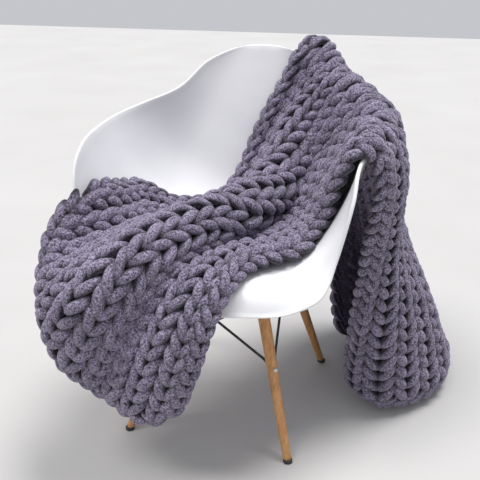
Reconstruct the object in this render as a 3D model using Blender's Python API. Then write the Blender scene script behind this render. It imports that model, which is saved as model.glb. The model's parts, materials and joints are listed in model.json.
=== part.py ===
"""Chunky knit blanket draped over a moulded shell armchair on dowel legs.

Metres, +Z up, the seat faces -Y.  The blanket runs from a hem hanging in front
of the seat, across the seat in one big rolled fold, over the right arm and the
top of the back, and down to a second hem beside the rear leg.
"""
import bpy
import bmesh
import numpy as np
from mathutils import Vector
from mathutils.bvhtree import BVHTree

for old in list(bpy.data.objects):
    bpy.data.objects.remove(old, do_unlink=True)

# ---------------------------------------------------------------- named sizes
CM = 0.01
SHELL_THICK = 0.005
SHELL_ROWS = 30
SHELL_HALF_COLUMNS = 13
CLOTH_THICK = 0.018
HEM_THICK = 0.012
HEM_TAPER = 0.10
CLOTH_CLEAR = 0.0055
SETTLE_PASSES = 40
RIM_SECTION = 7
FOLD_STEPS = 4
SECTION_STEPS = (3, 3, 4, 4, 4, 4, 4, 4, 4, 3, 3)
FOOT_X = 0.194
FOOT_Y = 0.209
LEG_SPLAY = 0.261
LEG_TOP_Z = 0.392
GLIDE_HEIGHT = 0.007
GLIDE_RADIUS = 0.0105
FIT = 0.0005
BOLT_Z = 0.207
BRACE_TOP_Z = 0.350
BRACE_RADIUS = 0.003
BRACE_APART = 0.0036
BRACE_TRIM = 0.020
FRAME_Z = 0.396
FRAME_BAR = 0.018
FRAME_THICK = 0.005

# ------------------------------------------------------------------- the shell
# A row for each section from the front lip to the top of the back, in cm.
# mid_y, mid_z: the centre line.  rim_x, rim_y, rim_z: the rim on the right.
# flat: half width of the flat middle.  rise_x, rise_y, rise_z: how far the wall
# leans back from the rim.
SHELL_COLUMNS = ("mid_y", "mid_z", "rim_x", "rim_y", "rim_z",
                 "flat", "rise_x", "rise_y", "rise_z")
SHELL_SECTIONS = (
    ("front lip", -29.0, 39.5, 17.5, -27.0, 39.8, 10, 5, 0, 0),
    ("front roll", -27.0, 44.0, 25.0, -24.5, 43.5, 12, 5, 0, 2),
    ("front corner", -23.0, 45.5, 27.5, -20.5, 51.0, 16, 3, 0, 6),
    ("arm front", -15.0, 45.0, 29.5, -18.0, 61.5, 18, 3, 0, 12),
    ("arm tip", -6.0, 43.8, 29.7, -13.0, 67.2, 19, 4, 0, 16),
    ("arm", 4.0, 43.0, 30.9, -3.0, 68.7, 19, 5, 1, 17),
    ("arm rear", 12.0, 44.0, 30.5, 6.7, 69.7, 18, 5, 3, 17),
    ("elbow", 18.5, 50.0, 27.0, 14.1, 71.2, 16, 5, 6, 12),
    ("shoulder", 21.5, 60.0, 20.2, 20.6, 74.2, 13, 5, 5, 7),
    ("crown side", 23.5, 70.0, 14.0, 25.4, 80.3, 9, 4, 2, 4),
    ("crown", 26.5, 84.3, 6.0, 27.2, 84.1, 3, 2, 0, 0),
)

# ----------------------------------------------------------------- the blanket
# Where the cross sections lie, from the front hem to the side hem.
SECTIONS = ("front hem", "front drop", "front roll", "seat", "seat rear",
            "wall foot", "wall", "rim", "upper drop", "mid drop", "low drop",
            "side hem")
# A row for each section, x, y, z of the middle of the cloth in cm, for each
# fold line from the near edge to the far edge.
NEAR_EDGE = (
    ("front hem", -1.5, -34.5, 16.0), ("front drop", 3.0, -34.5, 30.0),
    ("front roll", 7.0, -30.0, 43.0), ("seat", 11.5, -21.0, 47.6),
    ("seat rear", 19.2, -17.0, 50.0), ("wall foot", 22.6, -11.5, 54.5),
    ("wall", 24.8, -10.5, 63.0), ("rim", 29.6, -10.5, 69.6),
    ("upper drop", 33.0, -8.5, 63.0), ("mid drop", 31.3, -2.5, 45.0),
    ("low drop", 29.3, 3.0, 22.0), ("side hem", 28.0, 7.0, 2.4),
)
NEAR_PANEL = (
    ("front hem", -9.5, -35.5, 17.0), ("front drop", -3.5, -35.0, 32.0),
    ("front roll", 1.0, -30.2, 44.0), ("seat", 6.5, -17.0, 47.4),
    ("seat rear", 13.3, -11.0, 47.6), ("wall foot", 18.5, -4.0, 50.5),
    ("wall", 23.5, -2.5, 60.0), ("rim", 31.4, -1.0, 71.9),
    ("upper drop", 35.4, 1.0, 62.0), ("mid drop", 35.2, 2.0, 44.0),
    ("low drop", 36.5, 2.5, 22.0), ("side hem", 38.0, 4.0, 2.4),
)
GROOVE = (
    ("front hem", -18.0, -34.4, 21.0), ("front drop", -12.3, -33.6, 32.0),
    ("front roll", -5.2, -28.8, 44.5), ("seat", 2.1, -14.9, 47.6),
    ("seat rear", 6.2, -5.0, 47.3), ("wall foot", 12.2, 7.0, 49.2),
    ("wall", 18.5, 10.5, 58.0), ("rim", 30.0, 9.0, 73.4),
    ("upper drop", 34.4, 10.5, 62.0), ("mid drop", 35.8, 9.0, 44.0),
    ("low drop", 42.0, 8.5, 22.0), ("side hem", 46.5, 10.0, 2.4),
)
RIDGE_NOSE = (
    ("front hem", -24.5, -36.3, 27.5), ("front drop", -16.4, -37.6, 39.4),
    ("front roll", -8.3, -31.8, 50.0), ("seat", 0.8, -16.0, 52.5),
    ("seat rear", 7.4, -7.6, 53.2), ("wall foot", 12.2, 7.9, 56.0),
    ("wall", 16.5, 16.5, 66.0), ("rim", 24.5, 16.0, 76.3),
    ("upper drop", 31.0, 17.0, 67.0), ("mid drop", 35.2, 17.0, 45.0),
    ("low drop", 45.0, 17.5, 22.0), ("side hem", 51.0, 19.0, 2.4),
)
RIDGE_CREST = (
    ("front hem", -28.8, -34.8, 34.8), ("front drop", -19.8, -38.0, 43.4),
    ("front roll", -10.8, -30.4, 52.8), ("seat", -1.4, -13.2, 55.9),
    ("seat rear", 3.9, -3.9, 56.8), ("wall foot", 7.7, 7.7, 59.2),
    ("wall", 12.5, 17.5, 70.0), ("rim", 20.5, 20.5, 77.8),
    ("upper drop", 25.5, 23.0, 69.0), ("mid drop", 32.5, 27.0, 46.0),
    ("low drop", 40.0, 31.0, 23.0), ("side hem", 50.5, 32.0, 2.6),
)
RIDGE_BACK = (
    ("front hem", -31.5, -30.5, 42.0), ("front drop", -23.5, -30.5, 46.0),
    ("front roll", -14.5, -19.5, 51.0), ("seat", -6.8, -7.5, 50.8),
    ("seat rear", -1.0, 1.0, 51.0), ("wall foot", 3.4, 11.6, 55.0),
    ("wall", 10.0, 19.5, 70.0), ("rim", 17.0, 24.5, 80.0),
    ("upper drop", 20.5, 28.0, 72.0), ("mid drop", 26.0, 36.0, 47.0),
    ("low drop", 33.0, 41.0, 24.0), ("side hem", 41.0, 43.0, 2.6),
)
BOWL = (
    ("front hem", -31.5, -26.0, 51.0), ("front drop", -22.5, -20.0, 49.3),
    ("front roll", -17.0, -11.0, 49.5), ("seat", -12.5, -2.5, 47.2),
    ("seat rear", -6.0, 7.0, 47.0), ("wall foot", -0.5, 15.2, 52.0),
    ("wall", 5.5, 21.0, 66.0), ("rim", 14.6, 26.3, 82.6),
    ("upper drop", 16.5, 32.0, 75.0), ("mid drop", 21.0, 40.0, 48.0),
    ("low drop", 25.0, 43.0, 25.0), ("side hem", 30.0, 41.0, 2.6),
)
FAR_EDGE = (
    ("front hem", -28.0, -20.0, 61.3), ("front drop", -25.0, -9.0, 57.2),
    ("front roll", -23.0, -1.0, 55.0), ("seat", -18.0, 5.0, 49.3),
    ("seat rear", -10.5, 11.0, 48.0), ("wall foot", -4.0, 16.5, 53.0),
    ("wall", 1.8, 21.5, 68.0), ("rim", 10.2, 27.7, 83.6),
    ("upper drop", 12.0, 32.8, 77.0), ("mid drop", 15.5, 37.5, 50.0),
    ("low drop", 20.0, 33.0, 25.0), ("side hem", 23.8, 25.0, 2.8),
)
FOLD_LINES = (NEAR_EDGE, NEAR_PANEL, GROOVE, RIDGE_NOSE,
              RIDGE_CREST, RIDGE_BACK, BOWL, FAR_EDGE)


# ------------------------------------------------------------------- curve help
def smooth_through(points, at):
    """Smooth curve through rows of points, read at the given places."""
    last = len(points) - 1
    span = np.clip(at.astype(int), 0, last - 1)
    part = (at - span).reshape((-1,) + (1,) * (points.ndim - 1))
    ends = [2 * points[0] - points[1]], [2 * points[-1] - points[-2]]
    rows = np.concatenate([ends[0], points, ends[1]])
    a, b, c, d = rows[span], rows[span + 1], rows[span + 2], rows[span + 3]
    return 0.5 * (2 * b + (c - a) * part
                  + (2 * a - 5 * b + 4 * c - d) * part ** 2
                  + (3 * b - a - 3 * c + d) * part ** 3)


def sheet_normals(grid):
    """Unit normals of a grid of points."""
    along = np.gradient(grid, axis=0)
    across = np.gradient(grid, axis=1)
    normal = np.cross(along, across)
    return normal / np.linalg.norm(normal, axis=2, keepdims=True)


# -------------------------------------------------------------------- materials
def material(name, colour, roughness, metallic=0.0, sheen=0.0, coat=0.0):
    made = bpy.data.materials.new(name)
    made.use_nodes = True
    shader = made.node_tree.nodes["Principled BSDF"]
    shader.inputs["Base Color"].default_value = (*colour, 1.0)
    shader.inputs["Roughness"].default_value = roughness
    shader.inputs["Metallic"].default_value = metallic
    shader.inputs["Sheen Weight"].default_value = sheen
    shader.inputs["Coat Weight"].default_value = coat
    made.diffuse_color = (*colour, 1.0)
    return made


YARN = material("chenille_yarn", (0.130, 0.120, 0.150), 0.95, sheen=0.3)
PLASTIC = material("shell_plastic", (0.86, 0.86, 0.87), 0.32, coat=0.2)
BEECH = material("beech", (0.62, 0.36, 0.17), 0.45)
BLACK_STEEL = material("black_steel", (0.02, 0.02, 0.022), 0.45)
BOLT_STEEL = material("bolt_steel", (0.60, 0.60, 0.60), 0.35, metallic=1.0)
RUBBER = material("glide_rubber", (0.03, 0.03, 0.03), 0.7)


# ---------------------------------------------------------------- mesh builders
def add_solid(name, points, faces, slot):
    """One closed solid with its faces turned outward."""
    mesh = bpy.data.meshes.new(name)
    mesh.from_pydata([tuple(p) for p in points], [], faces)
    work = bmesh.new()
    work.from_mesh(mesh)
    bmesh.ops.triangulate(work, faces=work.faces[:])
    bmesh.ops.recalc_face_normals(work, faces=work.faces[:])
    if work.calc_volume(signed=True) < 0:
        bmesh.ops.reverse_faces(work, faces=work.faces[:])
    work.to_mesh(mesh)
    work.free()
    mesh.materials.append(slot)
    solid = bpy.data.objects.new(name, mesh)
    bpy.context.scene.collection.objects.link(solid)
    return solid


def thick_sheet(name, middle, half, slot):
    """A closed sheet of the given half thickness about a grid of points."""
    rows, columns = middle.shape[:2]
    normal = sheet_normals(middle)
    upper = (middle + normal * half[..., None]).reshape(-1, 3)
    lower = (middle - normal * half[..., None]).reshape(-1, 3)
    count = rows * columns
    faces = []
    for i in range(rows - 1):
        for j in range(columns - 1):
            a = i * columns + j
            b, c, d = a + columns, a + columns + 1, a + 1
            faces.append((a, b, c, d))
            faces.append((a + count, d + count, c + count, b + count))
    border = [j for j in range(columns)]
    border += [i * columns + columns - 1 for i in range(1, rows)]
    border += [(rows - 1) * columns + j for j in range(columns - 2, -1, -1)]
    border += [i * columns for i in range(rows - 2, 0, -1)]
    for here, after in zip(border, border[1:] + border[:1]):
        faces.append((here, after, after + count, here + count))
    return add_solid(name, np.concatenate([upper, lower]), faces, slot)


def lathe(name, stations, slot, sides=12):
    """A solid of level round rings; stations are (centre, radius)."""
    points = []
    for centre, radius in stations:
        for k in range(sides):
            turn = 2 * np.pi * k / sides
            points.append((centre[0] + radius * np.cos(turn),
                           centre[1] + radius * np.sin(turn), centre[2]))
    faces = [tuple(range(sides))]
    for ring in range(len(stations) - 1):
        for k in range(sides):
            here = ring * sides + k
            after = ring * sides + (k + 1) % sides
            faces.append((here, after, after + sides, here + sides))
    top = (len(stations) - 1) * sides
    faces.append(tuple(range(top + sides - 1, top - 1, -1)))
    return add_solid(name, points, faces, slot)


def rod(name, start, end, radius, slot, sides=8):
    """A straight round bar between two points."""
    axis = (end - start).normalized()
    side = axis.orthogonal().normalized()
    over = axis.cross(side)
    points = []
    for centre in (start, end):
        for k in range(sides):
            turn = 2 * np.pi * k / sides
            out = side * float(np.cos(turn)) + over * float(np.sin(turn))
            points.append(centre + out * radius)
    faces = [tuple(range(sides)), tuple(range(2 * sides - 1, sides - 1, -1))]
    for k in range(sides):
        after = (k + 1) % sides
        faces.append((k, after, after + sides, k + sides))
    return add_solid(name, points, faces, slot)


# ---------------------------------------------------------------- shell surface
def shell_grid(rows, half_columns):
    """The inner face of the shell as a grid, front to top, left to right."""
    table = np.array([row[1:] for row in SHELL_SECTIONS]) * CM
    at = np.linspace(0, len(table) - 1, rows)
    read = dict(zip(SHELL_COLUMNS, smooth_through(table, at).T[:, :, None]))
    across = np.linspace(-1, 1, 2 * half_columns + 1)
    turn = np.abs(across)[None, :]
    side = np.sign(across)[None, :]
    weights = ((1 - turn) ** 3, 3 * (1 - turn) ** 2 * turn,
               3 * (1 - turn) * turn ** 2, turn ** 3)
    x = (weights[1] * read["flat"] + weights[2] * (read["rim_x"] - read["rise_x"])
         + weights[3] * read["rim_x"]) * side
    middle = weights[0] + weights[1]
    y = (middle * read["mid_y"] + weights[2] * (read["rim_y"] + read["rise_y"])
         + weights[3] * read["rim_y"])
    z = (middle * read["mid_z"] + weights[2] * (read["rim_z"] - read["rise_z"])
         + weights[3] * read["rim_z"])
    return np.stack([x, y, z], axis=2)


SHELL = shell_grid(SHELL_ROWS, SHELL_HALF_COLUMNS)
shell_half = np.full(SHELL.shape[:2], SHELL_THICK / 2)
shell = thick_sheet("shell", SHELL, shell_half, PLASTIC)


# -------------------------------------------------------------- blanket surface
def surface_tree(grid):
    """Search tree of a grid of points, its faces turned to the sitter."""
    rows, columns = grid.shape[:2]
    faces = []
    for i in range(rows - 1):
        for j in range(columns - 1):
            a = i * columns + j
            faces.append((a, a + 1, a + columns + 1, a + columns))
    return BVHTree.FromPolygons([Vector(p) for p in grid.reshape(-1, 3)], faces)


def section_places(steps):
    """Places along the sections, closer together where the cloth bends."""
    places = [span + k / count for span, count in enumerate(steps) for k in range(count)]
    return np.array(places + [float(len(steps))])


def blanket_grid(places):
    """The middle of the draped cloth as a grid, near edge to far edge."""
    lines = np.array([[point[1:] for point in line] for line in FOLD_LINES]) * CM
    folds = np.linspace(0, len(lines) - 1, (len(lines) - 1) * FOLD_STEPS + 1)
    grid = smooth_through(lines, folds)
    along = smooth_through(grid.transpose(1, 0, 2), places)
    return along.transpose(1, 0, 2)


def edge_taper(grid):
    """Half thickness: full in the middle, thinner along all four edges."""
    rows, columns = grid.shape[:2]
    u = np.linspace(0, 1, rows)[:, None]
    v = np.linspace(0, 1, columns)[None, :]
    inset = np.minimum(np.minimum(u, 1 - u), np.minimum(v, 1 - v)) / HEM_TAPER
    ease = np.sin(np.clip(inset, 0, 1) * np.pi / 2)
    return (HEM_THICK + (CLOTH_THICK - HEM_THICK) * ease) / 2


def touch_groups(rows, columns):
    """Where the cloth is felt: each place as the grid points it is the mean of."""
    groups = [((i, j),) for i in range(rows) for j in range(columns)]
    groups += [((i, j), (i + 1, j)) for i in range(rows - 1) for j in range(columns)]
    for i in range(rows):
        for j in range(columns - 1):
            here, after = (i, j), (i, j + 1)
            groups += [(here, after), (here, here, after), (here, after, after)]
            if i < rows - 1:
                beside, beyond = (i + 1, j), (i + 1, j + 1)
                groups += [(here, after, beside, beyond),
                           (here, here, after, beside, beside, beyond),
                           (here, after, after, beside, beyond, beyond)]
    return groups


def rest_on(grid, half, places, support):
    """Ease the cloth off the shell until all of it lies clear.

    Before the rim the cloth lies on the sitter's side, past it on the outside.
    """
    tree = surface_tree(support)
    out = grid.copy()
    groups = touch_groups(*grid.shape[:2])
    for _ in range(SETTLE_PASSES):
        push = np.zeros_like(out)
        share = np.zeros(out.shape[:2] + (1,))
        for group in groups:
            here = Vector(sum(out[c] for c in group) / len(group))
            need = max(half[c] for c in group) + SHELL_THICK / 2 + CLOTH_CLEAR
            before = RIM_SECTION > sum(places[j] for i, j in group) / len(group)
            place, normal, face, gap = tree.find_nearest(here)
            if not before:
                normal = -normal
            depth = (here - place).dot(normal)
            if depth < -0.8 * gap:
                move = normal * (need - depth)
            elif gap < need - 1e-5:
                move = (here - place).normalized() * (need - gap)
            else:
                continue
            for c in group:
                push[c] += move
                share[c] += 1
        if not share.any():
            break
        out += push / np.maximum(share, 1)
    return out


PLACES = section_places(SECTION_STEPS)
CLOTH = blanket_grid(PLACES)
cloth_half = edge_taper(CLOTH)
CLOTH = rest_on(CLOTH, cloth_half, PLACES, SHELL)
blanket = thick_sheet("blanket", CLOTH, cloth_half, YARN)


# ----------------------------------------------------------------- legs and feet
def leg_axis(side, end, z):
    """A point on a leg's axis; side -1 left, +1 right; end -1 front, +1 rear."""
    return Vector((side * (FOOT_X - LEG_SPLAY * z), end * (FOOT_Y - LEG_SPLAY * z), z))


LEG_RADII = ((GLIDE_HEIGHT + FIT, 0.0095), (0.10, 0.0110), (0.22, 0.0128),
             (0.32, 0.0135), (LEG_TOP_Z, 0.0120))
CORNERS = (("front_left", -1, -1), ("front_right", 1, -1),
           ("rear_left", -1, 1), ("rear_right", 1, 1))
for corner, side, end in CORNERS:
    rings = [(leg_axis(side, end, z), radius) for z, radius in LEG_RADII]
    lathe("leg_" + corner, rings, BEECH)
    foot = leg_axis(side, end, 0)
    disc = [(foot, GLIDE_RADIUS), (foot + Vector((0, 0, GLIDE_HEIGHT)), GLIDE_RADIUS)]
    lathe("glide_" + corner, disc, RUBBER, sides=16)
    outward = Vector((side, end, 0)).normalized()
    head = leg_axis(side, end, BOLT_Z) + outward * (0.0132 + FIT)
    rod("bolt_" + corner, head, head + outward * 0.004, 0.0045, BOLT_STEEL, sides=10)

# ------------------------------------------------------------ braces and frame
# Each side of the base has two crossing bars, from the bolt of one leg to the
# top of the other; the pair lies one just outside the other.
SIDES = (("front", 0, 1, (0, -1, 0)), ("rear", 2, 3, (0, 1, 0)),
         ("left", 0, 2, (-1, 0, 0)), ("right", 1, 3, (1, 0, 0)))
for label, first, second, facing in SIDES:
    for tag, low, high, shift in (("a", first, second, 1), ("b", second, first, -1)):
        low_end = leg_axis(*CORNERS[low][1:], BOLT_Z)
        high_end = leg_axis(*CORNERS[high][1:], BRACE_TOP_Z)
        run = (high_end - low_end).normalized() * BRACE_TRIM
        step = Vector(facing) * (BRACE_APART * shift)
        rod("brace_%s_%s" % (label, tag), low_end + run + step,
            high_end - run + step, BRACE_RADIUS, BLACK_STEEL)


def flat_ring(name, inner, outer, z, thick, slot):
    """A flat rectangular ring; inner and outer are half sizes in x and y."""
    points = []
    for half_x, half_y in (outer, inner):
        for level in (z, z + thick):
            for sx, sy in ((-1, -1), (1, -1), (1, 1), (-1, 1)):
                points.append((sx * half_x, sy * half_y, level))
    faces = []
    for k in range(4):
        n = (k + 1) % 4
        faces.append((k, n, n + 4, k + 4))
        faces.append((k + 8, k + 12, n + 12, n + 8))
        faces.append((k, k + 8, n + 8, n))
        faces.append((k + 4, n + 4, n + 12, k + 12))
    return add_solid(name, points, faces, slot)


FRAME_X = FOOT_X - LEG_SPLAY * LEG_TOP_Z
FRAME_Y = FOOT_Y - LEG_SPLAY * LEG_TOP_Z
flat_ring("seat_frame", (FRAME_X - FRAME_BAR, FRAME_Y - FRAME_BAR),
          (FRAME_X + FRAME_BAR, FRAME_Y + FRAME_BAR), FRAME_Z, FRAME_THICK, BLACK_STEEL)

# A rubber-faced mount between the frame and the underside of the seat at each
# corner, its height taken from the shell above it.
shell_tree = BVHTree.FromPolygons([v.co for v in shell.data.vertices],
                                  [p.vertices[:] for p in shell.data.polygons])
MOUNT_RADIUS = 0.014
for corner, side, end in CORNERS:
    foot = Vector((side * FRAME_X, end * FRAME_Y, FRAME_Z + FRAME_THICK + FIT))
    roofs = []
    for turn in np.arange(8) * np.pi / 4:
        probe = foot + Vector((np.cos(turn), np.sin(turn), 0)) * MOUNT_RADIUS
        roofs.append(shell_tree.ray_cast(probe, Vector((0, 0, 1)))[0].z)
    top = Vector((foot.x, foot.y, min(roofs) - 2 * FIT))
    lathe("mount_" + corner, [(foot, MOUNT_RADIUS), (top, MOUNT_RADIUS)], RUBBER)

# --------------------------------------------- origin under the middle of it all
built = [item for item in bpy.data.objects if item.type == "MESH"]
every = np.array([v.co for item in built for v in item.data.vertices])
low, high = every.min(axis=0), every.max(axis=0)
centre = Vector(((low[0] + high[0]) / 2, (low[1] + high[1]) / 2, low[2]))
for item in built:
    for vertex in item.data.vertices:
        vertex.co -= centre
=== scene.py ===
"""Chunky knit blanket draped over a moulded shell armchair: the looks.

Metres, +Z up, the seat faces -Y.  The forms are laid out about the middle of the
chair and moved to the row frame as each mesh is made.
"""
import json
import bpy
import bmesh
import numpy as np
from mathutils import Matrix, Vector
from mathutils.bvhtree import BVHTree

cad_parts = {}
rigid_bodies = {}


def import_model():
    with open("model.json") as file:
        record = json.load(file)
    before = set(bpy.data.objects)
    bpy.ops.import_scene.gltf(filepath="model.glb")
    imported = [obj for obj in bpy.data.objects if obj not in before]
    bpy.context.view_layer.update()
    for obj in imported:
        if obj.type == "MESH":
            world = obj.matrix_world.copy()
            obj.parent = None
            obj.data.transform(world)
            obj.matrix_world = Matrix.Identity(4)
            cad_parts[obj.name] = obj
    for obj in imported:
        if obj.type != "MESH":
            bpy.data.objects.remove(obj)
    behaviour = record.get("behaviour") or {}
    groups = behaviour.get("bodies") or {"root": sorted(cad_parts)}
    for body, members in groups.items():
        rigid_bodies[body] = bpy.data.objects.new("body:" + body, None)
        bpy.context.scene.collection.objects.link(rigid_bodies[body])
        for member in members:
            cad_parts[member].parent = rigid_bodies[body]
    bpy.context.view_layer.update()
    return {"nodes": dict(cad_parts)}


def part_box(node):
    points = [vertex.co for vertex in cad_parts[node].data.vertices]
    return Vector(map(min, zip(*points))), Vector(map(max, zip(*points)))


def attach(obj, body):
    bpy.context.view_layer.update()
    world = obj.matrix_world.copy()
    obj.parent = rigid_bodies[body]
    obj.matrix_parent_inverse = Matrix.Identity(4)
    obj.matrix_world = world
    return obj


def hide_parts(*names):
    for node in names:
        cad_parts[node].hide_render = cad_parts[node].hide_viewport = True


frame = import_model()

# ---- named sizes
CM = 0.01
# the shell
SHELL_THICK = 0.005
SHELL_ROWS = 30
SHELL_HALF_COLUMNS = 13
SKIN_ROWS = 121
SKIN_HALF_COLUMNS = 48
RIM_ROUND = 0.0036
RIM_EASE_STEPS = 3.0
RIM_TURNS = (30, 60, 90, 120, 150)
RIM_STEP = 0.002
CORNER_STEPS = 40
CORNER_SOFT = 0.026
CORNER_REACH = 0.075
SHIFT_SPREAD = 0.02
SHIFT_REACH = 0.045
# the draped cloth
CLOTH_THICK = 0.018
HEM_THICK = 0.012
HEM_TAPER = 0.10
CLOTH_CLEAR = 0.0055
SETTLE_PASSES = 40
THROUGH = 0.8  # the share of a gap that must be depth, to be past the shell
FOLD_STEPS = 4
SECTION_STEPS = (3, 3, 4, 4, 4, 4, 4, 4, 4, 3, 3)
FLAT_WIDTH = 0.78
FLAT_LENGTH = 1.60
GROUND_THICK = 0.003
GROUND_LIFT = 0.004  # towards the right side
# the knit, its wales, rows, loops and steps counted
WALES = 11
ROWS = 47
HEM_LOOPS = 19
BANDS = 5
WALE_STEPS = 6
ROW_STEPS = 6
FINE_ACROSS = 169
FINE_ALONG = 321
SPARE = 2  # steps that a guide goes on past the cloth
CORNER_WALES = 2
CORNER_ROWS = 3
CORNER_DRAW = 0.22
YARN_RADIUS = 0.0100
YARN_SIDES = 12
LOOP_POINTS = 28
USUAL_WALE = 0.056
USUAL_ROW = 0.035
GAUGE_RANGE = (0.66, 1.25)
FRONT_EASE = 6
GAUGE_EASE = 8
WALE_MARGIN = 0.020
ROW_MARGIN = 0.012
EDGE_INSET = 0.010
EDGE_WIDTH = 0.040
WANDER_SCALE = 21.0
SWELL = 0.16
END_TAPER = 0.13
END_LEAST = 0.04
TUFT_SCALE = 150.0
# legs, bolts and braces
FOOT_X = 0.194
FOOT_Y = 0.209
LEG_SPLAY = 0.261
LEG_TOP_Z = 0.392
LEG_RINGS = 29
LEG_SIDES = 28
FOOT_BEVEL = 0.0012
TOP_BEVEL = 0.0015
GLIDE_HEIGHT = 0.007
GLIDE_SIDES = 32
FIT = 0.0005  # the gap between parts that meet
BOLT_Z = 0.207
BOLT_SEAT = 0.0132
BOLT_SIDES = 24
BRACE_TOP_Z = 0.350
BRACE_RADIUS = 0.003
BRACE_APART = 0.0036
BRACE_TRIM = 0.020
LUG_SIDES = 16
LUG_WIDE = 1.35
LUG_FLAT = 0.62
# floor, light and camera
FLOOR_HALF = 9
FLOOR_Z = -0.0004
SUN_SPREAD = 22
SKY = (0.90, 0.91, 0.96, 1)
SKY_STRENGTH = 0.62
EYE = (0.42409, -1.33928, 1.03444)
LOOK_AT = (0.01716, 0.00543, 0.432)
LENS = 48.8


def chair_middle():
    """The point on the floor under the middle of the four legs."""
    corners = [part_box("leg_" + c) for c in
               ("front_left", "front_right", "rear_left", "rear_right")]
    middles = np.array([(np.array(low) + np.array(high)) / 2 for low, high in corners])
    return np.array([middles[:, 0].mean(), middles[:, 1].mean(), 0.0])


MIDDLE = chair_middle()

# ---- the sections of the shell
# A row for each section from the front lip to the top of the back, in cm.
# mid_y, mid_z: the centre line.  rim_x, rim_y, rim_z: the rim on the right.
# flat: half width of the flat middle.  rise_x, rise_y, rise_z: how far the wall
# leans back from the rim.
SHELL_COLUMNS = ("mid_y", "mid_z", "rim_x", "rim_y", "rim_z",
                 "flat", "rise_x", "rise_y", "rise_z")
SHELL_SECTIONS = (
    ("front lip", -29.0, 39.5, 17.5, -27.0, 39.8, 10, 5, 0, 0),
    ("front roll", -27.0, 44.0, 25.0, -24.5, 43.5, 12, 5, 0, 2),
    ("front corner", -23.0, 45.5, 27.5, -20.5, 51.0, 16, 3, 0, 6),
    ("arm front", -15.0, 45.0, 29.5, -18.0, 61.5, 18, 3, 0, 12),
    ("arm tip", -6.0, 43.8, 29.7, -13.0, 67.2, 19, 4, 0, 16),
    ("arm", 4.0, 43.0, 30.9, -3.0, 68.7, 19, 5, 1, 17),
    ("arm rear", 12.0, 44.0, 30.5, 6.7, 69.7, 18, 5, 3, 17),
    ("elbow", 18.5, 50.0, 27.0, 14.1, 71.2, 16, 5, 6, 12),
    ("shoulder", 21.5, 60.0, 20.2, 20.6, 74.2, 13, 5, 5, 7),
    ("crown side", 23.5, 70.0, 14.0, 25.4, 80.3, 9, 4, 2, 4),
    ("crown", 26.5, 84.3, 6.0, 27.2, 84.1, 3, 2, 0, 0),
)

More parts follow.
